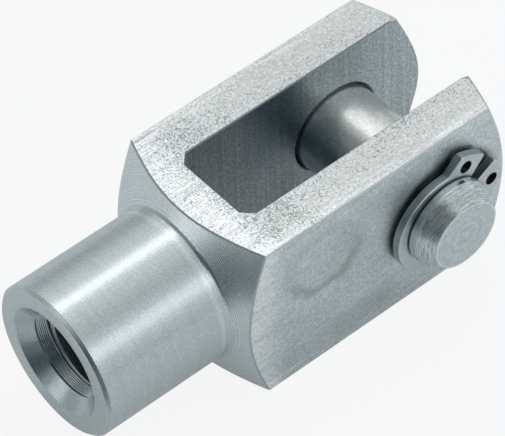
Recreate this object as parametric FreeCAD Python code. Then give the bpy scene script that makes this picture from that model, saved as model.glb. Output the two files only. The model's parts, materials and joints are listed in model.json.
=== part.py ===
import FreeCAD, Part
import math
import os

# Rod clevis: a fork that screws onto a piston rod and carries a cross pin in its two ears.
# Millimetres. +X runs along the rod from the threaded end to the fork's tip, +Y along the
# pin, +Z up. The origin is on the pin's axis, midway between the ears.

# Fork, as turned from square bar
square_width = 24.0
pin_axis_from_end = 48.0
turned_length = 62.0
neck_diameter = 20.0
neck_length = 18.0
neck_end_chamfer = 0.4
neck_fillet = 0.8
shoulder_angle = 28.3
tip_angle = 28.0
tip_face_diameter = 11.0

# Fork, as milled and deburred
slot_width = 12.3
slot_depth = 24.0
slot_corner = 1.3
edge_break = 0.15
burr_cut_along = 1.2
burr_cut_across = 0.95
burr_cut_down = 0.5

# Threaded hole, drawn at the thread's minor diameter
thread_diameter = 12.0
thread_pitch = 1.25
relief_over_thread = 0.33
relief_length = 1.7
countersink_width = 1.65
countersink_angle = 45.0
mouth_break = 0.12

# Pin, and how it runs in the ears
pin_diameter = 11.95
pin_running_clearance = 0.04
hole_chamfer = 0.4
pin_land = 1.05
pin_cone_length = 2.4
pin_cone_depth = 1.22
pin_edge_break = 0.1

# Retaining rings and the grooves that hold them
ring_to_ear_gap = 0.5
ring_thickness = 1.0
groove_depth = 0.225
groove_side_clearance = 0.05
band_width = 1.8
band_offset = 0.5
lug_height = 3.3
lug_hole_diameter = 1.7
gap_half_angle = 9.0
lug_hole_from_gap = 17.6
lug_width_angle = 26.0
lug_flank_angle = 14.0
lug_corner_radius = 0.5
gap_corner_radius = 0.2
lug_root_radius = 0.9
ring_edge_break = 0.08
ring_gap_direction = 39.5

# Sizes that follow from those above. A metric thread is five eighths of its full V deep.
half_width = square_width / 2
corner_radius = half_width * math.sqrt(2)
half_slot = slot_width / 2
thread_end_x = -pin_axis_from_end
neck_end_x = thread_end_x + neck_length
slot_bottom_x = -slot_depth
tip_x = thread_end_x + turned_length
tip_rise = math.tan(math.radians(tip_angle))
shoulder_rise = math.tan(math.radians(shoulder_angle))
thread_v_height = thread_pitch * math.sqrt(3) / 2
thread_minor_radius = thread_diameter / 2 - thread_v_height * 5 / 8
relief_radius = thread_minor_radius + relief_over_thread
mouth_radius = relief_radius + countersink_width
pin_radius = pin_diameter / 2
pin_hole_radius = pin_radius + pin_running_clearance
groove_radius = pin_radius - groove_depth
ring_near_y = half_width + ring_to_ear_gap
ring_far_y = ring_near_y + ring_thickness
groove_near_y = ring_near_y - groove_side_clearance
groove_far_y = ring_far_y + groove_side_clearance
pin_cone_y = groove_far_y + pin_land
pin_end_y = pin_cone_y + pin_cone_length
lug_tip_radius = groove_radius + lug_height

# How far a cutter or a turned profile runs past what it cuts
overrun = 1.0

# How close two places are to count as one
same_place = 1e-3

ORIGIN = FreeCAD.Vector(0, 0, 0)
X_AXIS = FreeCAD.Vector(1, 0, 0)
Y_AXIS = FreeCAD.Vector(0, 1, 0)
Z_AXIS = FreeCAD.Vector(0, 0, 1)


def point(x, y, z=0.0):
    return FreeCAD.Vector(x, y, z)


def line(start, end):
    return Part.LineSegment(start, end).toShape()


def arc(start, middle, end):
    return Part.Arc(start, middle, end).toShape()


def face_of(corners):
    """A flat face from its corner points."""
    return Part.Face(Part.makePolygon(corners + [corners[0]]))


def rounded_corner(before, corner, after, radius):
    """The arc that rounds a corner, as its first, middle and last points."""
    back = (before - corner).normalize()
    onward = (after - corner).normalize()
    half_angle = back.getAngle(onward) / 2
    reach = radius / math.tan(half_angle)
    bisector = (back + onward).normalize()
    middle = corner + bisector * (radius / math.sin(half_angle) - radius)
    return corner + back * reach, middle, corner + onward * reach


# The fork body

def square_bar():
    """The square bar that the fork is turned from."""
    low_corner = point(thread_end_x - overrun, -half_width, -half_width)
    return Part.makeBox(turned_length + 2 * overrun, square_width, square_width, low_corner)


def turned_outline():
    """What turning leaves: neck, fillet, conical shoulder and conical tip.

    The seam of the turned surfaces lies underneath, where the slot opens.
    """
    beyond = corner_radius + overrun
    neck_radius = neck_diameter / 2
    tip_face_radius = tip_face_diameter / 2
    end_edge = point(thread_end_x, neck_radius - neck_end_chamfer)
    neck_start = point(thread_end_x + neck_end_chamfer, neck_radius)
    neck_end = point(neck_end_x, neck_radius)
    shoulder_out = point(neck_end_x + (beyond - neck_radius) * shoulder_rise, beyond)
    tip_out = point(tip_x - (beyond - tip_face_radius) * tip_rise, beyond)
    tip_edge = point(tip_x, tip_face_radius)
    fillet = rounded_corner(neck_start, neck_end, shoulder_out, neck_fillet)
    outline = Part.Wire([
        line(point(thread_end_x, 0), end_edge),
        line(end_edge, neck_start),
        line(neck_start, fillet[0]),
        arc(*fillet),
        line(fillet[2], shoulder_out),
        line(shoulder_out, tip_out),
        line(tip_out, tip_edge),
        line(tip_edge, point(tip_x, 0)),
        line(point(tip_x, 0), point(thread_end_x, 0)),
    ])
    solid = Part.Face(outline).revolve(ORIGIN, X_AXIS, 360)
    solid.rotate(ORIGIN, X_AXIS, -90)
    return solid


def slot_cutter():
    """The slot through both square faces. Its two bottom corners stay at 45 degrees."""
    low = -half_width - overrun
    outline = face_of([
        point(tip_x + overrun, -half_slot, low),
        point(tip_x + overrun, half_slot, low),
        point(slot_bottom_x + slot_corner, half_slot, low),
        point(slot_bottom_x, half_slot - slot_corner, low),
        point(slot_bottom_x, slot_corner - half_slot, low),
        point(slot_bottom_x + slot_corner, -half_slot, low),
    ])
    return outline.extrude(Z_AXIS * (square_width + 2 * overrun))


def in_square_face(edge):
    """Whether an edge lies wholly in one of the bar's four flat faces."""
    return lies_at(edge, Y_AXIS, half_width) or lies_at(edge, Z_AXIS, half_width)


def lies_at(edge, axis, distance):
    """Whether a whole edge lies at one distance from the origin along an axis."""
    first, last = edge.ParameterRange
    places = [edge.valueAt(first + (last - first) * share) for share in (0, 0.25, 0.5, 0.75, 1)]
    heights = [place.dot(axis) for place in places]
    return all(abs(abs(height) - distance) < same_place for height in heights)


def is_ear_tip_edge(edge):
    """Whether an edge is the curve where the slot's wall meets the conical tip."""
    is_curve = not isinstance(edge.Curve, Part.Line)
    return is_curve and lies_at(edge, Y_AXIS, half_slot) and edge.CenterOfMass.x > 0


def break_edges(body):
    """Takes the sharpness off the bar's long edges, the turned outlines and the slot's rim."""
    sharp = [edge for edge in body.Edges if in_square_face(edge) or is_ear_tip_edge(edge)]
    return body.makeChamfer(edge_break, sharp)


def tip_cone_x(y, z):
    """Where the conical tip lies at a place across the bar."""
    return tip_x - (math.hypot(y, z) - tip_face_diameter / 2) * tip_rise


def burr_cutter(ear_side, face_side):
    """The file stroke that takes off an ear's sharp inner corner, as a block to cut with."""
    inner_y = ear_side * half_slot
    across_y = ear_side * (half_slot + burr_cut_across)
    face_z = face_side * half_width
    down_z = face_side * (half_width - burr_cut_down)
    along = point(tip_cone_x(inner_y, face_z) - burr_cut_along, inner_y, face_z)
    across = point(tip_cone_x(across_y, face_z), across_y, face_z)
    down = point(tip_cone_x(inner_y, down_z), inner_y, down_z)
    outward = (down - along).cross(across - along).normalize() * (ear_side * face_side)
    reach = 2 * (burr_cut_along + burr_cut_across + burr_cut_down)
    stroke = Part.makePlane(reach, reach, ORIGIN, outward)
    stroke.translate((along + across + down) / 3 - stroke.CenterOfMass)
    return stroke.extrude(outward * reach)


def pin_hole_cutter():
    """The cross hole through both ears, chamfered where it enters and leaves each ear."""
    start = point(0, -half_width - overrun)
    hole = Part.makeCylinder(pin_hole_radius, square_width + 2 * overrun, start, Y_AXIS)
    wide = pin_hole_radius + hole_chamfer + overrun
    height = hole_chamfer + overrun
    chamfers = []
    for mouth_y, into_ear in (
            (-half_width, 1), (-half_slot, -1), (half_slot, 1), (half_width, -1)):
        outside = point(0, mouth_y - into_ear * overrun)
        chamfers.append(
            Part.makeCone(wide, pin_hole_radius, height, outside, Y_AXIS * into_ear))
    return hole.multiFuse(chamfers)


def threaded_hole_cutter():
    """The hole for the rod: countersink, plain relief, then the wall that carries the thread.

    It opens into the bottom of the slot.
    """
    slope = math.tan(math.radians(countersink_angle))
    relief_start_x = thread_end_x + countersink_width / slope
    relief_end_x = relief_start_x + relief_length
    outside_x = thread_end_x - overrun
    inside_x = slot_bottom_x + slot_corner
    outline = face_of([
        point(outside_x, 0),
        point(outside_x, mouth_radius + mouth_break + overrun),
        point(thread_end_x, mouth_radius + mouth_break),
        point(thread_end_x + mouth_break / 2, mouth_radius - mouth_break * slope / 2),
        point(relief_start_x, relief_radius),
        point(relief_end_x, relief_radius),
        point(relief_end_x, thread_minor_radius),
        point(inside_x, thread_minor_radius),
        point(inside_x, 0),
    ])
    return outline.revolve(ORIGIN, X_AXIS, 360)


def make_fork_body():
    """One piece of steel: turned, slotted, deburred, then drilled across and along."""
    body = turned_outline().common(square_bar())
    body = body.cut(slot_cutter())
    body = break_edges(body)
    for ear_side in (-1, 1):
        for face_side in (-1, 1):
            body = body.cut(burr_cutter(ear_side, face_side))
    body = body.cut(pin_hole_cutter())
    return body.cut(threaded_hole_cutter())


# The clevis pin

def make_clevis_pin():
    """One turned pin: a plain journal with a groove, a land and a long cone at each end."""
    half_outline = [
        point(pin_radius, groove_near_y),
        point(groove_radius, groove_near_y),
        point(groove_radius, groove_far_y),
        point(pin_radius, groove_far_y),
        point(pin_radius, pin_cone_y),
        point(pin_radius - pin_cone_depth, pin_end_y),
        point(0, pin_end_y),
    ]
    other_half = [point(corner.x, -corner.y) for corner in reversed(half_outline)]
    pin = face_of(half_outline + other_half).revolve(ORIGIN, Y_AXIS, 360)
    rims = [edge for edge in pin.Edges if is_pin_rim(edge)]
    return pin.makeChamfer(pin_edge_break, rims)


def is_pin_rim(edge):
    """Whether an edge is one of the circles that bound the pin's end cones."""
    return lies_at(edge, Y_AXIS, pin_cone_y) or (
        lies_at(edge, Y_AXIS, pin_end_y) and isinstance(edge.Curve, Part.Circle))


# The retaining rings

def in_ring(radius, degrees):
    """A place in the ring's own plane: a radius, and an angle from the middle of its gap."""
    turn = math.radians(degrees)
    return point(radius * math.cos(turn), radius * math.sin(turn))


def band_edge_radius(degrees):
    """How far the band's outer edge is from the pin's axis. Its circle is set off the gap."""
    turn = math.radians(degrees)
    circle = groove_radius + band_width - band_offset
    sideways = band_offset * math.sin(turn)
    return math.sqrt(circle ** 2 - sideways ** 2) - band_offset * math.cos(turn)


def lug_corners(side):
    """One lug's corners from the gap outwards, each with the radius that rounds it."""
    corner_angle = gap_half_angle + lug_width_angle
    root_angle = corner_angle + lug_flank_angle
    return [
        (in_ring(groove_radius, side * gap_half_angle), 0),
        (in_ring(lug_tip_radius, side * gap_half_angle), gap_corner_radius),
        (in_ring(lug_tip_radius, side * corner_angle), lug_corner_radius),
        (in_ring(band_edge_radius(root_angle), side * root_angle), lug_root_radius),
    ]


def ring_outline():
    """The ring's outline before its corners are rounded: band, two lugs and the gap."""
    lugs = {side: [corner for corner, radius in lug_corners(side)] for side in (-1, 1)}
    edges = []
    for side, (inner, tip_start, tip_end, root) in lugs.items():
        tip_middle = in_ring(lug_tip_radius, side * (gap_half_angle + lug_width_angle / 2))
        edges.append(line(inner, tip_start))
        edges.append(arc(tip_start, tip_middle, tip_end))
        edges.append(line(tip_end, root))
    edges.append(arc(lugs[-1][3], in_ring(band_edge_radius(180), 180), lugs[1][3]))
    edges.append(arc(lugs[-1][0], in_ring(groove_radius, 180), lugs[1][0]))
    return Part.Face(Part.Wire(Part.sortEdges(edges)[0]))


def stands_at(edge, corner):
    """Whether an edge runs through the ring's thickness at a corner of its outline."""
    middle = edge.CenterOfMass
    is_upright = abs(edge.Length - ring_thickness) < same_place
    return is_upright and math.hypot(middle.x - corner.x, middle.y - corner.y) < same_place


def make_ring():
    """A stamped retaining ring, lying flat with its gap towards +X."""
    ring = ring_outline().extrude(Z_AXIS * ring_thickness)
    for side in (-1, 1):
        for corner, radius in lug_corners(side):
            if radius > 0:
                ring = ring.makeFillet(
                    radius, [edge for edge in ring.Edges if stands_at(edge, corner)])
    rims = [edge for edge in ring.Edges if lies_at(edge, Z_AXIS, ring_thickness)]
    ring = ring.makeChamfer(ring_edge_break, rims)
    hole_circle = groove_radius + lug_height / 2
    for side in (-1, 1):
        centre = in_ring(hole_circle, side * (gap_half_angle + lug_hole_from_gap))
        ring = ring.cut(
            Part.makeCylinder(lug_hole_diameter / 2, ring_thickness, centre, Z_AXIS))
    return ring


def seat_ring(side):
    """A ring in its groove on one side of the fork, its smooth face outwards."""
    ring = make_ring()
    if side > 0:
        ring = ring.mirror(ORIGIN, Z_AXIS)
    ring.rotate(ORIGIN, Z_AXIS, ring_gap_direction)
    ring.rotate(ORIGIN, X_AXIS, 90)
    ring.translate(point(0, side * ring_near_y))
    return ring


def main():
    pieces = {
        "fork_body": make_fork_body(),
        "clevis_pin": make_clevis_pin(),
        "front_ring": seat_ring(-1),
        "rear_ring": seat_ring(1),
    }
    os.makedirs("parts", exist_ok=True)
    for name, shape in pieces.items():
        shape.exportStep(os.path.join("parts", name + ".step"))


main()
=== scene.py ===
import json
import math

import bmesh
import bpy
from mathutils import Matrix, Vector


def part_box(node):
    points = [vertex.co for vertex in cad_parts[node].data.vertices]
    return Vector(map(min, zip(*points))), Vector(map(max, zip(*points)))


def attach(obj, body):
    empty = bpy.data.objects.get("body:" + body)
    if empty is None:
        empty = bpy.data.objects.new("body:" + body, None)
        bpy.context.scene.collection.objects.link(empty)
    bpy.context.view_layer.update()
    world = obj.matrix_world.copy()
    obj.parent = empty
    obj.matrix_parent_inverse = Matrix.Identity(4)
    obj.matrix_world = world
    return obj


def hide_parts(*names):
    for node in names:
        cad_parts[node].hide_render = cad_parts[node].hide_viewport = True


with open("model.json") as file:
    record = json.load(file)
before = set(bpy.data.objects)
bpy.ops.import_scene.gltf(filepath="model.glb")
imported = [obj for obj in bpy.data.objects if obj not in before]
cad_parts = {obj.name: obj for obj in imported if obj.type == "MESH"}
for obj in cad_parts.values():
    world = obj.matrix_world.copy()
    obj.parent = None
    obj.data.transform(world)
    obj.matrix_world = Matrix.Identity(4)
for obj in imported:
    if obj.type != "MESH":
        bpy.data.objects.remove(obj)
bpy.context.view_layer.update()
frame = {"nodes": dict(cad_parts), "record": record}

bl_info = {
    "name": "Rod clevis",
    "version": (1, 0, 0),
    "blender": (4, 5, 0),
    "location": "View3D > Sidebar > Rod clevis",
    "description": "Cuts the clevis's thread, finishes its steel pieces and sets up the studio",
    "category": "Object",
}

MM = 0.001
FORK_LOW, FORK_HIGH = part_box("fork_body")
PIN_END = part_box("clevis_pin")[1].y
MOUNTS = {mount["name"]: mount for mount in frame["record"]["mounts"]}
THREAD_MINOR_RADIUS = MOUNTS["rod_thread"]["dims"]["r_mm"] * MM
THREAD_LENGTH = MOUNTS["rod_thread"]["dims"]["length_mm"] * MM

# The floor's own light, and the plain backdrop behind everything
WHITE = (1.0, 1.0, 1.0, 1.0)
BACKDROP = (0.95, 0.95, 0.95, 1.0)

# How close a face lies to a plane or a wall to belong to it
NEAR = 0.02 * MM

# How far a cutter starts inside the wall that it cuts
OVERLAP = 0.2 * MM

# Cosines from which a face looks straight along an axis, mostly along it, and so on down
STRAIGHT = 0.99
MOSTLY = 0.8
PARTLY = 0.6
HALFWAY = 0.5
A_LITTLE = 0.3


# Shader maths

class Value:
    """A shader socket that adds its own nodes where Python's arithmetic is used on it."""

    def __init__(self, graph, socket):
        self.graph = graph
        self.socket = socket

    def maths(self, operation, first, second=0.0):
        """One Math node on two values."""
        return self.graph.node(
            "ShaderNodeMath", {"operation": operation}, {0: first, 1: second})

    def __add__(self, other):
        return self.maths("ADD", self, other)

    def __radd__(self, other):
        return self.maths("ADD", other, self)

    def __sub__(self, other):
        return self.maths("SUBTRACT", self, other)

    def __rsub__(self, other):
        return self.maths("SUBTRACT", other, self)

    def __mul__(self, other):
        return self.maths("MULTIPLY", self, other)

    def __rmul__(self, other):
        return self.maths("MULTIPLY", other, self)

    def __truediv__(self, other):
        return self.maths("DIVIDE", self, other)

    def __pow__(self, other):
        return self.maths("POWER", self, other)

    def __abs__(self):
        return self.maths("ABSOLUTE", self)

    def sine(self):
        """The sine of a value in radians."""
        return self.maths("SINE", self)

    def sibling(self, name):
        """Another output of the node that this one comes from."""
        return Value(self.graph, self.socket.node.outputs[name])

    def step(self, low, high):
        """0 up to low and 1 from high, with a smooth rise between them."""
        return self.graph.node(
            "ShaderNodeMapRange", {"interpolation_type": "SMOOTHSTEP"},
            {"Value": self, "From Min": low, "From Max": high})

    def within(self, low, high, fade):
        """1 between low and high and 0 outside, with a smooth change either side."""
        return self.step(low - fade, low) * (1 - self.step(high, high + fade))

    def spread(self, amount):
        """A factor round 1 that varies by an amount in all, from grain that runs from 0 to 1."""
        return (self - 0.5) * amount + 1.0


class Graph:
    """The node tree of one material, or of the world."""

    def __init__(self, tree):
        self.tree = tree
        tree.nodes.clear()

    def node(self, kind, settings, inputs, output=0):
        """Adds a node: its settings first, then the values or links of its sockets."""
        made = self.tree.nodes.new(kind)
        for name, value in settings.items():
            setattr(made, name, value)
        for name, value in inputs.items():
            if isinstance(value, Value):
                self.tree.links.new(value.socket, made.inputs[name])
            else:
                made.inputs[name].default_value = value
        return Value(self, made.outputs[output]) if made.outputs else None

    def place(self):
        """Where a point lies on the piece, in millimetres."""
        metres = self.node("ShaderNodeTexCoord", {}, {}, "Object")
        return self.node("ShaderNodeVectorMath", {"operation": "SCALE"}, {0: metres, "Scale": 1 / MM})

    def split(self, vector):
        """The three parts of a vector."""
        parts = self.node("ShaderNodeSeparateXYZ", {}, {0: vector})
        return [parts.sibling(name) for name in "XYZ"]

    def length(self, first, second):
        """How far a point is from an axis, from its two parts across that axis."""
        return (first * first + second * second) ** 0.5

    def noise(self, place, per_mm, detail=2.0, roughness=0.5, turn=0.0, shift=0.0):
        """Grain from 0 to 1, with so many grains to the millimetre along X, Y and Z."""
        if not hasattr(per_mm, "__len__"):
            per_mm = (per_mm, per_mm, per_mm)
        stretched = self.node(
            "ShaderNodeMapping", {"vector_type": "TEXTURE"},
            {"Vector": place, "Location": (shift, shift, shift), "Rotation": (0, turn, 0),
             "Scale": tuple(1 / share for share in per_mm)})
        return self.node(
            "ShaderNodeTexNoise", {"noise_dimensions": "3D"},
            {"Vector": stretched, "Scale": 1.0, "Detail": detail, "Roughness": roughness})

    def specks(self, grain, threshold):
        """Irregular dark specks: 1 where the grain lies under a threshold."""
        softness = 0.025
        return 1 - (grain - threshold).step(-softness, softness)

    def towards(self, first, second, degrees, core, edge):
        """1 round one direction in the plane of two parts of a vector, 0 past an angle from it."""
        angle = math.radians(degrees)
        along = first * math.cos(angle) + second * math.sin(angle)
        cosine = along / self.length(first, second)
        return cosine.step(math.cos(math.radians(edge)), math.cos(math.radians(core)))

    def lines(self, distance, per_mm, detail=3.0, roughness=0.6):
        """Uneven parallel lines from 0 to 1 that depend on one distance alone."""
        return self.node(
            "ShaderNodeTexNoise", {"noise_dimensions": "1D"},
            {"W": distance * per_mm, "Scale": 1.0, "Detail": detail, "Roughness": roughness})

    def blend(self, first, second, share):
        """One colour turned into another."""
        return self.node(
            "ShaderNodeMix", {"data_type": "RGBA"}, {0: share, 6: first, 7: second}, 2)

    def shade(self, colour, share):
        """A colour made darker or lighter by a varying factor."""
        grey = self.node("ShaderNodeCombineColor", {}, {0: share, 1: share, 2: share})
        return self.node(
            "ShaderNodeMix", {"data_type": "RGBA", "blend_type": "MULTIPLY"},
            {0: 1.0, 6: colour, 7: grey}, 2)


def opaque(colour):
    """A colour with full alpha, as sockets take it."""
    return (*colour, 1.0)


def steel(name, finish):
    """A bare metal material. Its finish gives colour, roughness and relief in micrometres."""
    micrometre = MM * MM
    material = bpy.data.materials.new(name)
    material.use_nodes = True
    graph = Graph(material.node_tree)
    colour, roughness, relief = finish(graph, graph.place())
    normal = graph.node(
        "ShaderNodeBump", {}, {"Height": relief, "Distance": micrometre, "Strength": 1.0})
    shader = graph.node(
        "ShaderNodeBsdfPrincipled", {},
        {"Base Color": colour, "Metallic": 1.0, "Roughness": roughness, "Normal": normal})
    graph.node("ShaderNodeOutputMaterial", {}, {"Surface": shader})
    return material


# What the user can change

def length(name, description, millimetres):
    """A length setting."""
    return bpy.props.FloatProperty(
        name=name, description=description, default=millimetres * MM,
        unit="LENGTH", precision=5, min=0.0)


def angle(name, description, degrees):
    """An angle setting."""
    return bpy.props.FloatProperty(
        name=name, description=description, default=math.radians(degrees), subtype="ANGLE")


def tint(name, description, colour):
    """A colour setting."""
    return bpy.props.FloatVectorProperty(
        name=name, description=description, default=colour,
        subtype="COLOR", size=3, min=0.0, max=1.0)


class ClevisForkSettings(bpy.types.PropertyGroup):
    thread_diameter: length("Thread diameter", "Major diameter of the rod thread", 12.0)
    thread_pitch: length("Thread pitch", "Distance from one turn of the thread to the next", 1.25)
    relief_depth: length("Relief depth", "How far in from the end face the thread begins", 3.35)
    relief_radius: length("Relief radius", "Radius of the bored relief before the thread", 5.6534)
    countersink_depth: length("Countersink depth", "How far in the relief begins", 1.65)
    boring_depth: length("Boring mark depth", "Depth of the marks in the relief", 0.15)
    boring_marks: bpy.props.IntProperty(
        name="Boring marks", description="Number of turned marks in the relief", default=7, min=1)
    slot_width: length("Slot width", "Width of the slot between the ears", 12.3)
    neck_diameter: length("Neck diameter", "Diameter of the round neck", 20.0)
    steel_colour: tint("Steel", "Colour of the plated fork", (0.60, 0.655, 0.665))
    drawn_colour: tint("Drawn", "Colour of the pitted faces of the bar", (0.642, 0.668, 0.666))
    side_colour: tint("Side", "Colour of the satin faces of the bar", (0.67, 0.725, 0.735))
    shoulder_colour: tint("Shoulder", "Colour of the turned shoulder and tips", (0.715, 0.768, 0.78))
    rim_colour: tint("Rim", "Colour where the bar is burnished, by its edges", (0.95, 0.99, 1.0))
    milled_colour: tint("Milled", "Colour of the milled slot and of the bores", (0.50, 0.55, 0.565))
    # Painted shade: the bluish colour that darkens the slot wall beside the pin
    painted_shade_colour: tint("Film", "Colour of the milled slot under the oily film", (0.31, 0.40, 0.46))
    # Painted shade: a darker steel for the countersink and the relief
    bored_shade_colour: tint("Bored", "Colour of the countersink and the relief", (0.53, 0.585, 0.60))
    # Painted shade: the dark colour of the cross hole and its rims round the pin
    painted_hole_colour: tint("Hole", "Colour of the cross hole and its rims", (0.20, 0.22, 0.23))
    pit_colour: tint("Pits", "Colour in the pits of the drawn faces", (0.22, 0.25, 0.26))


class ClevisPinSettings(bpy.types.PropertyGroup):
    cone_start: length("Cone start", "Distance from the middle to the start of the end cone", 14.6)
    steel_colour: tint("Steel", "Colour of the turned ends of the pin", (0.64, 0.70, 0.71))
    journal_colour: tint("Journal", "Colour of the ground middle of the pin", (0.69, 0.705, 0.69))
    # Painted shade: the colour that darkens the journal towards -X
    painted_shade_colour: tint("Film", "Colour of the journal under an oily film", (0.43, 0.50, 0.535))


class ClevisRingSettings(bpy.types.PropertyGroup):
    hole_radius: length("Hole radius", "Radius of the plier holes", 0.85)
    hole_circle: length("Hole circle", "Radius at which the plier holes lie round the pin", 7.4)
    gap_direction: angle("Gap direction", "Where each ring opens, from the fork's tip upwards", 39.5)
    hole_from_gap: angle("Hole from gap", "Angle from the middle of the gap to each hole", 26.6)
    steel_colour: tint("Steel", "Colour of the stamped rings", (0.62, 0.675, 0.69))


class ClevisStageSettings(bpy.types.PropertyGroup):
    floor_colour: tint("Floor", "Colour of the floor", (0.83, 0.875, 0.89))
    tent_colour: tint("Light tent", "Light that comes from all round", (0.445, 0.475, 0.485))
    open_colour: tint("Open side", "Light from the open side of the tent", (0.055, 0.085, 0.10))
    overhead_colour: tint("Overhead", "Tint of the light tent overhead", (0.468, 0.472, 0.465))
    floor_size: length("Floor size", "Width and depth of the floor", 3000.0)
    lens: bpy.props.FloatProperty(
        name="Lens", description="Focal length of the camera in millimetres", default=252.1)


# Fork

def clean_copy(node):
    """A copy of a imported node's mesh with its loose triangles joined."""
    mesh = bmesh.new()
    mesh.from_mesh(frame["nodes"][node].data)
    same_corner = NEAR / 100
    bmesh.ops.remove_doubles(mesh, verts=mesh.verts, dist=same_corner)
    return mesh


def add_piece(mesh, name, materials):
    """A finished mesh as an object at the origin."""
    data = bpy.data.meshes.new(name)
    mesh.to_mesh(data)
    mesh.free()
    if "custom_normal" in data.attributes:
        data.attributes.remove(data.attributes["custom_normal"])
    for material in materials:
        data.materials.append(material)
    piece = bpy.data.objects.new(name, data)
    bpy.context.scene.collection.objects.link(piece)
    return piece


def smooth_by_angle(data, degrees):
    """Smooth shading that stays sharp where two faces meet at more than an angle."""
    data.shade_smooth()
    data.set_sharp_from_angle(angle=math.radians(degrees))


def thread_coil(settings):
    """The coil of steel that the tap takes out: a truncated V swept along a helix."""
    steps_per_turn = 48
    lead_steps = 60
    spare_turns = 2
    half_flank_angle = math.radians(30)
    major = settings.thread_diameter / 2
    pitch = settings.thread_pitch
    inner = THREAD_MINOR_RADIUS - OVERLAP
    root_flat = pitch / 8
    half_root = root_flat / 2
    half_mouth = half_root + (major - inner) * math.tan(half_flank_angle)
    start = FORK_LOW.x + settings.relief_depth - pitch / 2
    turns = math.ceil(THREAD_LENGTH / pitch) + spare_turns
    coil = bmesh.new()
    section = ((-half_mouth, inner), (-half_root, major), (half_root, major), (half_mouth, inner))
    corners = [coil.verts.new((start + along, 0, radius)) for along, radius in section]
    coil.faces.new(corners)
    bmesh.ops.spin(
        coil, geom=coil.verts[:] + coil.edges[:] + coil.faces[:], cent=(0, 0, 0), axis=(1, 0, 0),
        dvec=(pitch / steps_per_turn, 0, 0), angle=math.tau * turns,
        steps=steps_per_turn * turns, use_merge=False, use_duplicate=False)
    bmesh.ops.recalc_face_normals(coil, faces=coil.faces)
    for index, corner in enumerate(coil.verts):
        depth = min(1.0, (index // len(section) + 1) / lead_steps)
        radius = math.hypot(corner.co.y, corner.co.z)
        shallow = inner + max(radius - inner, 0.0) * depth
        corner.co.yz *= shallow / radius
    return coil


def boring_rings(settings):
    """The steel that the boring bar takes out of the relief: a ring with a saw-toothed rim."""
    steps = 96
    tooth_tip = 0.12
    land_start = 0.75
    first_mark_depth = 1.7
    wall = settings.relief_radius + NEAR
    inner = wall - OVERLAP
    low = FORK_LOW.x + settings.countersink_depth
    high = FORK_LOW.x + settings.relief_depth
    pitch = (high - low) / settings.boring_marks
    profile = [(low, inner), (low, wall)]
    for mark in range(settings.boring_marks):
        start = low + mark * pitch
        depth = settings.boring_depth * (first_mark_depth if mark == 0 else 1.0)
        profile.append((start + tooth_tip * pitch, wall + depth))
        profile.append((start + land_start * pitch, wall))
    profile.append((high, wall))
    profile.append((high, inner))
    rings = bmesh.new()
    points = [rings.verts.new((along, radius, 0)) for along, radius in profile]
    for first, second in zip(points, points[1:] + points[:1]):
        rings.edges.new((first, second))
    bmesh.ops.spin(
        rings, geom=rings.verts[:] + rings.edges[:], cent=(0, 0, 0), axis=(1, 0, 0),
        angle=math.tau, steps=steps, use_merge=True, use_duplicate=False)
    bmesh.ops.recalc_face_normals(rings, faces=rings.faces)
    return rings


def cut_away(fork, shape):
    """Takes a shape out of the fork."""
    cutter = add_piece(shape, "cutter", [])
    cut = fork.modifiers.new("Cut", "BOOLEAN")
    cut.operation = "DIFFERENCE"
    cut.solver = "EXACT"
    cut.object = cutter
    bpy.context.view_layer.update()
    shaped = fork.evaluated_get(bpy.context.evaluated_depsgraph_get())
    data = bpy.data.meshes.new_from_object(shaped)
    fork.modifiers.remove(cut)
    fork.data = data
    bpy.data.objects.remove(cutter)


FORK_FINISHES = (
    "drawn_face", "side_face", "slot_wall", "neck", "shoulder", "end_face",
    "countersink", "thread", "pin_hole", "slot_edge", "broken_edge")


def fork_finish_of(centre, normal, settings):
    """Which finish a face of the fork has, from where it lies and the way it looks."""
    half_bar = FORK_HIGH.z
    half_slot = settings.slot_width / 2
    neck_radius = settings.neck_diameter / 2
    bore_reach = 0.8 * neck_radius
    neck_reach = 1.1 * neck_radius
    edge_reach = 0.3 * MM
    tip_start = hole_reach = 0.6 * half_bar
    from_axis = math.hypot(centre.y, centre.z)
    from_pin = math.hypot(centre.x, centre.z)
    relief_end = FORK_LOW.x + settings.relief_depth
    slot_bottom = relief_end + THREAD_LENGTH
    outward = (centre.y * normal.y + centre.z * normal.z) / max(from_axis, NEAR)
    faces_bore = outward < 0.1
    if abs(normal.z) > STRAIGHT and abs(centre.z) > half_bar - NEAR:
        return "drawn_face"
    if abs(normal.y) > STRAIGHT and abs(centre.y) > half_bar - NEAR:
        return "side_face"
    if centre.x > tip_start and normal.x > A_LITTLE:
        return "drawn_face" if normal.z > HALFWAY else "shoulder"
    if from_pin < hole_reach and abs(centre.y) > half_slot - NEAR:
        return "pin_hole"
    if abs(normal.y) > STRAIGHT and abs(abs(centre.y) - half_slot) < NEAR:
        return "slot_wall"
    if centre.x > slot_bottom - NEAR and normal.x > PARTLY and centre.x < 0:
        return "slot_wall"
    if normal.x < -STRAIGHT and centre.x < FORK_LOW.x + NEAR:
        return "end_face"
    if faces_bore and from_axis < bore_reach:
        return "countersink" if centre.x < relief_end - NEAR else "thread"
    if normal.x < -MOSTLY:
        return "shoulder"
    if from_axis < neck_reach and centre.x < slot_bottom:
        return "neck"
    if abs(centre.y) < half_slot + edge_reach and centre.x > slot_bottom - edge_reach:
        return "slot_edge"
    return "broken_edge"


def sort_finishes(fork, settings):
    """Gives each face of the fork the material of its finish."""
    for face in fork.data.polygons:
        finish = fork_finish_of(face.center, face.normal, settings)
        face.material_index = FORK_FINISHES.index(finish)


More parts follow.
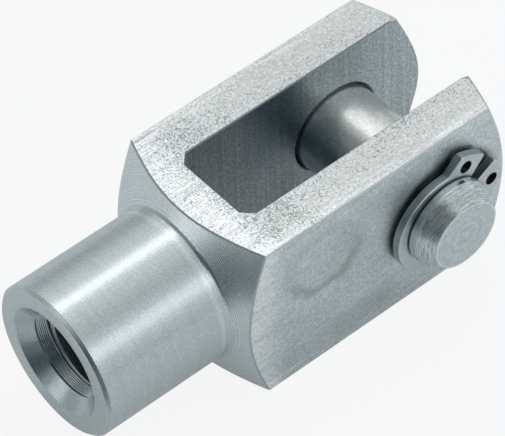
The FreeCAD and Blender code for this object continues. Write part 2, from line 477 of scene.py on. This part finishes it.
def drawn_face(colour, rim_colour, pit_colour):
    """Bar surface round the slot: pitted, with a burnished rim along the turned shoulder."""
    rim_fades = (-26.5, -21.5)
    edge_fades = (9.8, 11.6)
    slot_end = (-24.6, -19.5, 1.8)
    ear_fades = (-18.0, -8.0)
    outer_fades = (6.5, 11.0)
    tip_fades = (0.0, 10.0)
    streaks_per_mm = (0.14, 4.4, 4.4)
    usual_threshold = 0.335
    more_in_patches = 0.24
    more_round_slot = 0.075
    fewer_by_edge = 0.04
    fewer_on_rim = 0.03
    fewer_on_tip = 0.06
    fewer_outside = 0.085
    pit_strength = 0.75
    ear_shade = 0.1

    def finish(graph, place):
        x, y, _ = graph.split(place)
        rim = 1 - x.step(*rim_fades)
        edge = abs(y).step(*edge_fades)
        ear = x.step(*ear_fades)
        patches = graph.noise(place, 0.35)
        fine = graph.noise(place, 6.2, detail=1.0)
        mottle = graph.noise(place, 2.6, detail=1.0, shift=4.0)
        pitted = graph.noise(place, 4.8, detail=0.0, shift=11.0)
        dents = graph.noise(place, 2.9, detail=0.0, shift=17.0)
        streaks = graph.noise(place, streaks_per_mm, detail=2.0, roughness=0.7)
        round_slot = x.within(*slot_end) * (1 - edge)
        on_tip = x.step(*tip_fades)
        outside = ear * abs(y).step(*outer_fades)
        threshold = (
            usual_threshold + round_slot * more_round_slot + (patches - 0.5) * more_in_patches
            - edge * fewer_by_edge - rim * fewer_on_rim
            - on_tip * fewer_on_tip - outside * fewer_outside)
        pits = graph.specks(pitted, threshold)
        deep_pits = graph.specks(dents, threshold - 0.07 - edge * 0.05)
        dots = 1 - (1 - pits) * (1 - deep_pits)
        streaked = (0.3 + edge + rim * 1.3) * 0.8
        base = graph.blend(opaque(colour), opaque(rim_colour), rim * 0.5 + edge * 0.16)
        share = (
            fine.spread(0.8) * mottle.spread(0.6) * streaks.spread(streaked)
            * (1.0 - ear * ear_shade))
        shown = graph.blend(graph.shade(base, share), opaque(pit_colour), dots * pit_strength)
        roughness = 0.34 - rim * 0.06 + fine * 0.06
        relief = fine * 6.0 + mottle * 6.0 + streaks * 4.0 + pitted.step(0.35, 0.5) * 7.0
        return shown, roughness, relief
    return finish


def side_face(colour, rim_colour, pit_colour):
    """Satin bar surface: even grain, a stain on the front, streaks by the shoulder and the edges,
    painted shadow round the retaining ring and painted shade towards the bottom edge.
    """
    rim_fades = (-28.0, -23.0)
    edge_fades = (9.6, 11.6)
    clouds_per_mm = (0.12, 0.12, 0.18)
    streaks_per_mm = (0.16, 4.4, 4.4)
    stain_x, stain_z = -17.5, 4.9
    stain_reach_x, stain_reach_z = 5.4, 4.5
    stain_outline = (1.20, 1.24, 0.26)
    # Painted shade: the side face darkens towards its bottom edge along the middle of the bar
    low_shade_along = (-23.0, -9.0, 3.0)
    low_shade_below = (-5.0, -9.0)
    # Painted shadow where the retaining ring shades the side face round the pin
    ring_shadow_x, ring_shadow_z = 1.2, 0.4
    ring_shadow_fades = (7.2, 8.8)
    scribed_line = (10.55, 10.7, 0.12)
    scribed_breaks = (0.4, 0.7)
    front_fades = (0.0, -1.0)
    stain_low_half = (6.0, 2.0)
    pit_threshold, pit_strength = 0.33, 0.4
    stain_shade, ring_shadow_strength, low_shade_strength, scribed_gain = 0.27, 0.72, 0.12, 0.16

    def finish(graph, place):
        x, y, z = graph.split(place)
        rim = 1 - x.step(*rim_fades)
        edge = abs(z).step(*edge_fades)
        clouds = graph.noise(place, clouds_per_mm, detail=2.0, roughness=0.5, turn=0.6)
        fine = graph.noise(place, 5.2, detail=1.0)
        mottle = graph.noise(place, 2.2, detail=1.0, shift=7.0)
        streaks = graph.noise(place, streaks_per_mm, detail=2.0, roughness=0.65)
        pitted = graph.noise(place, 4.6, detail=1.0, shift=13.0)
        dots = graph.specks(pitted, pit_threshold)
        wander = graph.noise(place, 0.7, detail=2.0) * 0.5
        from_stain = wander + graph.length(
            (x - stain_x) / stain_reach_x, (z - stain_z) / stain_reach_z)
        on_front = y.step(*front_fades)
        stain = (
            from_stain.within(*stain_outline) * (z.step(*stain_low_half) * 0.7 + 0.3)
            * on_front * (0.4 + mottle * 1.2))
        # Painted shade, darker towards the bottom edge
        painted_low_shade = z.step(*low_shade_below) * x.within(*low_shade_along)
        # Painted shadow of the retaining ring, darkest round the pin
        painted_ring_shadow = 1 - graph.length(x - ring_shadow_x, z - ring_shadow_z).step(*ring_shadow_fades)
        broken = graph.noise(place, 0.5, detail=1.0).step(*scribed_breaks)
        scribed = abs(z).within(*scribed_line) * broken
        base = graph.blend(opaque(colour), opaque(rim_colour), rim + edge * 0.16)
        share = (
            fine.spread(0.8) * mottle.spread(0.4) * clouds.spread(0.45)
            * streaks.spread(rim * 0.7 + edge * 0.6 + 0.2)
            * (1.0 - stain * stain_shade) * (1.0 + scribed * scribed_gain)
            * (1.0 - painted_ring_shadow * ring_shadow_strength) * (1.0 - painted_low_shade * low_shade_strength))
        shown = graph.blend(graph.shade(base, share), opaque(pit_colour), dots * pit_strength)
        relief = fine * 3.6 + mottle * 2.4 + streaks * (rim * 4.0 + 1.0) - dots * 5.0
        return shown, 0.34 + fine * 0.08, relief
    return finish


def slot_wall(colour, pit_colour, painted_shade_colour):
    """Milled wall: cutter lines along Z under a speckle of fine pits, with painted shade beside the
    pin.
    """
    cutter_lines_per_mm = (3.0, 3.0, 0.05)
    glints_per_mm = (3.2, 3.2, 1.1)
    painted_shade_along = (-11.5, -7.0, 3.5)
    painted_shade_fades = (-2.0, 6.0)
    glint_fades, glint_gain = (0.66, 0.76), 0.4
    pit_threshold, pit_strength = 0.36, 0.5

    def finish(graph, place):
        x, _, z = graph.split(place)
        cutter = graph.noise(place, cutter_lines_per_mm, detail=2.0, roughness=0.6)
        fine = graph.noise(place, 5.2, detail=1.0)
        mottle = graph.noise(place, 2.4, detail=1.0, shift=2.0)
        pitted = graph.noise(place, 4.6, detail=1.0, shift=5.0)
        dots = graph.specks(pitted, pit_threshold)
        scattered = graph.noise(place, glints_per_mm, detail=1.0, turn=0.5, shift=9.0)
        glints = scattered.step(*glint_fades)
        # Painted shade on the slot wall beside the pin on the neck's side, stronger higher up
        painted_shade = x.within(*painted_shade_along) * z.step(*painted_shade_fades)
        share = (
            cutter.spread(0.7) * fine.spread(1.6) * mottle.spread(0.9)
            * (1.0 + glints * glint_gain))
        base = graph.blend(opaque(colour), opaque(painted_shade_colour), painted_shade)
        shown = graph.blend(graph.shade(base, share), opaque(pit_colour), dots * pit_strength)
        return shown, 0.34 + fine * 0.1, cutter * 8.0 + fine * 5.0
    return finish


def turned(colour, along_axis, pitch_mm, depth, roughness, contrast):
    """Lathe finish: fine uneven rings about X, counted along the axis or outwards from it. The rings
    are clearest on the front, and a painted highlight brightens the neck's fillet a little."""
    clear_on = (-8.5, -3.0, 4.0)
    # Painted highlight along the neck's fillet
    fillet, fillet_highlight_gain = (-31.3, -30.9, 0.2), 0.14
    faint, plain = 0.03, 0.14

    def finish(graph, place):
        x, y, z = graph.split(place)
        distance = x if along_axis else graph.length(y, z)
        wander = graph.noise(place, 0.3, detail=1.0)
        feed = ((distance + wander * 0.05) * (math.tau / pitch_mm)).sine()
        rings = graph.lines(distance, 1.6 / pitch_mm, detail=1.0)
        broad = graph.lines(distance, 0.8)
        fine = graph.noise(place, 4.6, detail=1.0)
        clear = y.within(*clear_on)
        share = (
            (feed * (faint + clear * plain) * contrast + 1.0) * rings.spread(0.3 * contrast)
            * broad.spread(0.12) * fine.spread(0.5) * (1.0 + x.within(*fillet) * fillet_highlight_gain))
        relief = (feed * 2.6 + rings * 2.4) * (0.35 + clear * 0.9) * depth + fine * 3.6
        return graph.shade(opaque(colour), share), roughness + fine * 0.06, relief
    return finish


def plain_cut(colour, roughness, depth):
    """An even machined surface with fine grain."""
    def finish(graph, place):
        fine = graph.noise(place, 4.6, detail=1.0)
        return graph.shade(opaque(colour), fine.spread(0.24)), roughness + fine * 0.08, fine * depth
    return finish


def fork_materials(settings):
    """One steel for each finish, in the order of FORK_FINISHES."""
    colour = tuple(settings.steel_colour)
    rim = tuple(settings.rim_colour)
    pits = tuple(settings.pit_colour)
    milled = tuple(settings.milled_colour)
    bored = tuple(settings.bored_shade_colour)
    shoulder = tuple(settings.shoulder_colour)
    hole = tuple(settings.painted_hole_colour)
    painted_shade = tuple(settings.painted_shade_colour)
    finishes = {
        "drawn_face": drawn_face(tuple(settings.drawn_colour), rim, pits),
        "side_face": side_face(tuple(settings.side_colour), rim, pits),
        "slot_wall": slot_wall(milled, pits, painted_shade),
        "neck": turned(
            colour, along_axis=True, pitch_mm=0.25, depth=0.6, roughness=0.23, contrast=0.7),
        "shoulder": turned(
            shoulder, along_axis=False, pitch_mm=0.24, depth=0.9, roughness=0.22, contrast=1.2),
        "end_face": turned(
            colour, along_axis=False, pitch_mm=0.22, depth=0.4, roughness=0.32, contrast=0.4),
        # Painted shade: the countersink and the relief take the darker bored steel
        "countersink": turned(
            bored, along_axis=False, pitch_mm=0.26, depth=0.2, roughness=0.18, contrast=0.3),
        "thread": plain_cut(milled, roughness=0.28, depth=2.0),
        # Painted shade: the cross hole and its rims take a dark colour
        "pin_hole": plain_cut(hole, roughness=0.4, depth=1.0),
        # Painted shade: the broken edges round the slot take the dark colour of the pits
        "slot_edge": plain_cut(pits, roughness=0.4, depth=1.0),
        "broken_edge": plain_cut(milled, roughness=0.4, depth=1.0),
    }
    return [steel("steel_" + name, finishes[name]) for name in FORK_FINISHES]


class CLEVIS_OT_fork(bpy.types.Operator):
    """Adds the fork with its thread cut and each surface in its own finish"""

    bl_idname = "clevis.fork"
    bl_label = "Fork"

    def execute(self, context):
        settings = context.scene.clevis_fork
        fork = add_piece(clean_copy("fork_body"), "threaded_fork", [])
        cut_away(fork, thread_coil(settings))
        cut_away(fork, boring_rings(settings))
        fork.data.materials.clear()
        for material in fork_materials(settings):
            fork.data.materials.append(material)
        sort_finishes(fork, settings)
        smooth_by_angle(fork.data, degrees=24)
        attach(fork, "fork")
        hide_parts("fork_body")
        return {"FINISHED"}


# Pin

def pin_finish(colour, journal_colour, painted_shade_colour, cone_start_mm):
    """Satin journal, with tool marks round the end cones and a faint swirl on each end.
    Painted shade darkens the journal towards -X and the pin under the rings; a painted highlight rings
    each end.
    """
    end = PIN_END / MM
    cone_fades = (cone_start_mm - 0.05, cone_start_mm + 0.05)
    end_fades = (end - 0.07, end - 0.03)
    slot_fades = (6.0, 9.0)
    painted_shade_fades = (-3.3, -5.6)
    # Painted shade where the retaining rings sit in the pin's grooves
    groove, groove_shade = (12.4, 13.68, 0.12), 0.85
    hoops_per_mm, hoop_fades = (0.7, 8.0, 0.7), (0.38, 0.62)
    dashes_per_mm = (2.0, 6.0, 2.0)
    # Painted highlight: a thin bright ring by the rim of each end
    rim_highlight_ring, rim_highlight_gain = (4.50, 4.62, 0.06), 0.3
    swirl_fades = (1.0, 3.4)

    def finish(graph, place):
        x, y, z = graph.split(place)
        from_axis = graph.length(x, z)
        on_end = abs(y).step(*end_fades)
        on_cone = abs(y).step(*cone_fades) - on_end
        in_slot = 1 - abs(y).step(*slot_fades)
        fine = graph.noise(place, 4.8, detail=1.0)
        mottle = graph.noise(place, 1.6, detail=2.0, roughness=0.6)
        hoops = graph.noise(place, hoops_per_mm, detail=1.0).step(*hoop_fades)
        dashes = graph.noise(place, dashes_per_mm, detail=1.0, shift=3.0)
        swirl = graph.lines(from_axis + mottle * 0.9, 2.0, detail=1.0)
        marks = hoops.spread(0.4) * dashes.spread(0.6) * 0.96
        cone_marks = (marks - 1.0) * on_cone + 1.0
        # Painted highlight round the end's rim
        painted_rim_highlight = from_axis.within(*rim_highlight_ring) * rim_highlight_gain
        centre = 1 - from_axis.step(*swirl_fades)
        end_marks = ((swirl - 0.5) * (0.12 + centre * 0.7) + painted_rim_highlight) * on_end + 1.0
        # Painted shade in the grooves, under the rings
        painted_groove_shade = abs(y).within(*groove)
        share = (
            fine.spread(0.5) * mottle.spread(0.4) * cone_marks * end_marks
            * (1.0 - painted_groove_shade * groove_shade))
        relief = (
            fine * 3.0 + mottle * 2.4
            + on_cone * (hoops + dashes) * 6.0 + on_end * swirl * 3.0)
        roughness = 0.23 + fine * 0.06 + on_cone * 0.06
        base = graph.blend(opaque(colour), opaque(journal_colour), in_slot)
        # Painted shade on the journal's side towards -X
        base = graph.blend(base, opaque(painted_shade_colour), in_slot * x.step(*painted_shade_fades))
        return graph.shade(base, share), roughness, relief
    return finish


class CLEVIS_OT_pin(bpy.types.Operator):
    """Gives the clevis pin its turned steel"""

    bl_idname = "clevis.pin"
    bl_label = "Clevis pin"

    def execute(self, context):
        settings = context.scene.clevis_pin
        pin = frame["nodes"]["clevis_pin"]
        finish = pin_finish(
            tuple(settings.steel_colour), tuple(settings.journal_colour),
            tuple(settings.painted_shade_colour), settings.cone_start / MM)
        pin.data.materials.clear()
        pin.data.materials.append(steel("steel_pin", finish))
        return {"FINISHED"}


# Retaining rings

def ring_finish(colour, hole_places, hole_radius):
    """Stamped strip: plain fine grain across the flats, sheared lines round the edge, painted shade on
    the edge and in the plier holes.
    """
    hole_fades = (hole_radius, hole_radius + 0.1)
    between_flats = (12.62, 13.38, 0.08)
    sheared_lines_per_mm = (1.2, 7.0, 1.2)
    hole_shade, edge_shade = 0.75, 0.35

    def finish(graph, place):
        x, y, z = graph.split(place)
        fine = graph.noise(place, 4.8, detail=1.0)
        clouds = graph.noise(place, 0.8, detail=2.0)
        sheared = graph.noise(place, sheared_lines_per_mm, detail=2.0)
        share = fine.spread(0.4) * clouds.spread(0.3)
        for hole_x, hole_z in hole_places:
            # Painted shade in each plier hole
            inside = 1 - graph.length(x - hole_x, z - hole_z).step(*hole_fades)
            share = share * (1.0 - inside * hole_shade)
        # Painted shade on the sheared edge between the flats
        share = share * (1.0 - abs(y).within(*between_flats) * edge_shade)
        relief = fine * 2.4 + sheared * 1.6
        return graph.shade(opaque(colour), share), 0.28 + fine * 0.08, relief
    return finish


class CLEVIS_OT_rings(bpy.types.Operator):
    """Gives both retaining rings their stamped steel"""

    bl_idname = "clevis.rings"
    bl_label = "Retaining rings"

    def execute(self, context):
        settings = context.scene.clevis_rings
        radius = settings.hole_circle / MM
        turns = [settings.gap_direction + side * settings.hole_from_gap for side in (-1, 1)]
        holes = [(radius * math.cos(turn), radius * math.sin(turn)) for turn in turns]
        finish = ring_finish(tuple(settings.steel_colour), holes, settings.hole_radius / MM)
        material = steel("steel_ring", finish)
        for node in ("front_ring", "rear_ring"):
            ring = frame["nodes"][node]
            ring.data.materials.clear()
            ring.data.materials.append(material)
        return {"FINISHED"}


# Studio

def add_strip_light(name, rise, distance, middle, length, width, radiance):
    """A long softbox beside the clevis and parallel to it, with its brightness as seen in a mirror.
    Its rise is its angle round the X axis in degrees, from 0 at +Y through 90 overhead, and its
    middle is how far along X it is centred."""
    data = bpy.data.lights.new(name, "AREA")
    data.shape = "RECTANGLE"
    data.size = length
    data.size_y = width
    data.energy = radiance * math.pi * length * width
    along = Vector((1, 0, 0))
    outward = Vector((0, math.cos(math.radians(rise)), math.sin(math.radians(rise))))
    turn = Matrix((along, outward.cross(along), outward)).transposed().to_4x4()
    lamp = bpy.data.objects.new(name, data)
    lamp.matrix_world = Matrix.Translation(outward * distance + along * middle) @ turn
    bpy.context.scene.collection.objects.link(lamp)


def add_floor(settings):
    """A pale floor that looks near white, and keeps the clevis's soft shadow."""
    floor = bmesh.new()
    bmesh.ops.create_grid(floor, x_segments=1, y_segments=1, size=settings.floor_size / 2)
    bmesh.ops.translate(floor, verts=floor.verts, vec=(0, 0, FORK_LOW.z - NEAR))
    material = bpy.data.materials.new("floor_paper")
    material.use_nodes = True
    graph = Graph(material.node_tree)
    paper = graph.node(
        "ShaderNodeBsdfDiffuse", {}, {"Color": opaque(settings.floor_colour)})
    white = graph.node("ShaderNodeEmission", {}, {"Color": WHITE, "Strength": 1.0})
    seen = graph.node("ShaderNodeLightPath", {}, {}, "Is Camera Ray")
    mirrored = seen.sibling("Is Glossy Ray")
    x, y, _ = graph.split(graph.place())
    # Seen only in reflections, the floor is painted dark towards the tent's open side and paler on the
    # far side
    neck_x = -30.0
    dark_from_x = -40.0
    dark_side, dark_starts, dark_strength = (-152, 12, 34), (24, 50), 0.8
    pale_side, pale_starts, pale_strength = (157, 3, 13), (80, 140), 0.6
    white_when_seen, white_when_mirrored = 0.88, 0.18
    from_neck = graph.length(x - neck_x, y)
    dark = graph.towards(x - dark_from_x, y, *dark_side) * from_neck.step(*dark_starts)
    pale = graph.towards(x - neck_x, y, *pale_side) * from_neck.step(*pale_starts)
    whiteness = (
        seen * white_when_seen + mirrored * (pale * pale_strength + white_when_mirrored))
    shown = graph.node("ShaderNodeMixShader", {}, {0: whiteness, 1: paper, 2: white})
    shade = graph.node("ShaderNodeEmission", {}, {"Color": opaque(settings.open_colour)})
    surface = graph.node(
        "ShaderNodeMixShader", {}, {0: mirrored * dark * dark_strength, 1: shown, 2: shade})
    graph.node("ShaderNodeOutputMaterial", {}, {"Surface": surface})
    add_piece(floor, "floor", [material])


def add_tent(settings):
    """The light tent round the clevis: pale, lighter overhead and dark on its open side."""
    world = bpy.data.worlds.new("light_tent")
    world.use_nodes = True
    bpy.context.scene.world = world
    graph = Graph(world.node_tree)
    direction = graph.node("ShaderNodeTexCoord", {}, {}, "Generated")
    x, y, z = graph.split(direction)
    overhead_side, overhead_fades, overhead_gain = (66, 4, 55), (-0.45, 0.2), 0.8
    opposite_side, opposite_fades, opposite_gain = (147, 4, 40), (-0.5, 0.1), 0.5
    panel_side, panel_rise, panel_gain = (158, 4, 17), (-0.15, 0.4, 0.12), 1.25
    open_direction, open_rise, open_strength = (-150, 13, 32), (-0.30, 0.70, 0.12), 0.96
    rear_fades, rear_rise, rear_shade = (-0.05, -0.45), (0.35, 0.6), 0.45
    camera_x, camera_y, camera_z = -0.443, -0.428, 0.788
    camera_fades, camera_shade = (0.88, 0.98), 0.8
    overhead = graph.towards(y, z, *overhead_side) * x.step(*overhead_fades) * overhead_gain
    opposite = graph.towards(y, z, *opposite_side) * x.step(*opposite_fades) * opposite_gain
    panel = graph.towards(x, y, *panel_side) * z.within(*panel_rise) * panel_gain
    open_side = graph.towards(x, y, *open_direction) * z.within(*open_rise)
    rear = x.step(*rear_fades) * z.step(*rear_rise)
    photographer = (x * camera_x + y * camera_y + z * camera_z).step(*camera_fades)
    level = (
        (1.0 + overhead + opposite + panel)
        * (1.0 - photographer * camera_shade) * (1.0 - rear * rear_shade))
    tint_shown = graph.blend(
        opaque(settings.tent_colour), opaque(settings.overhead_colour), overhead)
    lit = graph.shade(tint_shown, level)
    tent = graph.blend(lit, opaque(settings.open_colour), open_side * open_strength)
    seen = graph.node("ShaderNodeLightPath", {}, {}, "Is Camera Ray")
    clear = seen + seen.sibling("Is Transmission Ray")
    shown = graph.blend(tent, BACKDROP, clear)
    background = graph.node("ShaderNodeBackground", {}, {"Color": shown, "Strength": 1.0})
    graph.node("ShaderNodeOutputWorld", {}, {"Surface": background})


def add_camera(settings):
    """The camera, where the photograph was taken from."""
    data = bpy.data.cameras.new("camera")
    data.sensor_width = 36.0
    data.lens = settings.lens
    data.clip_start = 0.01
    camera = bpy.data.objects.new("camera", data)
    place = Vector((-189.32, -211.05, 312.70)) * MM
    right = Vector((0.75991, -0.64963, -0.02289))
    up = Vector((0.50051, 0.56229, 0.65837))
    back = right.cross(up)
    turn = Matrix((right, up, back)).transposed().to_4x4()
    camera.matrix_world = Matrix.Translation(place) @ turn
    bpy.context.scene.collection.objects.link(camera)
    bpy.context.scene.camera = camera


class CLEVIS_OT_stage(bpy.types.Operator):
    """Adds the floor, the light tent, the softboxes and the camera"""

    bl_idname = "clevis.stage"
    bl_label = "Studio"

    def execute(self, context):
        settings = context.scene.clevis_stage
        add_floor(settings)
        add_tent(settings)
        add_strip_light(
            "key_softbox", rise=66, distance=0.8, middle=0.45, length=0.9, width=0.17, radiance=1.25)
        add_strip_light(
            "fill_softbox", rise=144, distance=0.8, middle=0.0, length=1.4, width=0.26, radiance=0.55)
        add_camera(settings)
        context.scene.view_settings.view_transform = "Standard"
        return {"FINISHED"}


class CLEVIS_PT_panel(bpy.types.Panel):
    """Lists the clevis's operators and settings in the sidebar"""

    bl_idname = "CLEVIS_PT_panel"
    bl_label = "Rod clevis"
    bl_space_type = "VIEW_3D"
    bl_region_type = "UI"
    bl_category = "Rod clevis"

    def draw(self, context):
        for operator, settings in STEPS:
            box = self.layout.box()
            box.operator(operator.bl_idname)
            for name in settings.__annotations__:
                box.prop(getattr(context.scene, settings_name(operator)), name)


STEPS = (
    (CLEVIS_OT_fork, ClevisForkSettings),
    (CLEVIS_OT_pin, ClevisPinSettings),
    (CLEVIS_OT_rings, ClevisRingSettings),
    (CLEVIS_OT_stage, ClevisStageSettings),
)


def settings_name(operator):
    """Where the scene holds one operator's settings."""
    return operator.bl_idname.replace(".", "_")


def register():
    """Adds the operators, their settings and the panel to Blender."""
    for operator, settings in STEPS:
        bpy.utils.register_class(settings)
        bpy.utils.register_class(operator)
        pointer = bpy.props.PointerProperty(type=settings)
        setattr(bpy.types.Scene, settings_name(operator), pointer)
    bpy.utils.register_class(CLEVIS_PT_panel)


def unregister():
    """Takes them out again."""
    bpy.utils.unregister_class(CLEVIS_PT_panel)
    for operator, settings in reversed(STEPS):
        delattr(bpy.types.Scene, settings_name(operator))
        bpy.utils.unregister_class(operator)
        bpy.utils.unregister_class(settings)


def main():
    """Builds the clevis and its studio."""
    register()
    bpy.ops.clevis.fork()
    bpy.ops.clevis.pin()
    bpy.ops.clevis.rings()
    bpy.ops.clevis.stage()


if __name__ == "__main__":
    main()
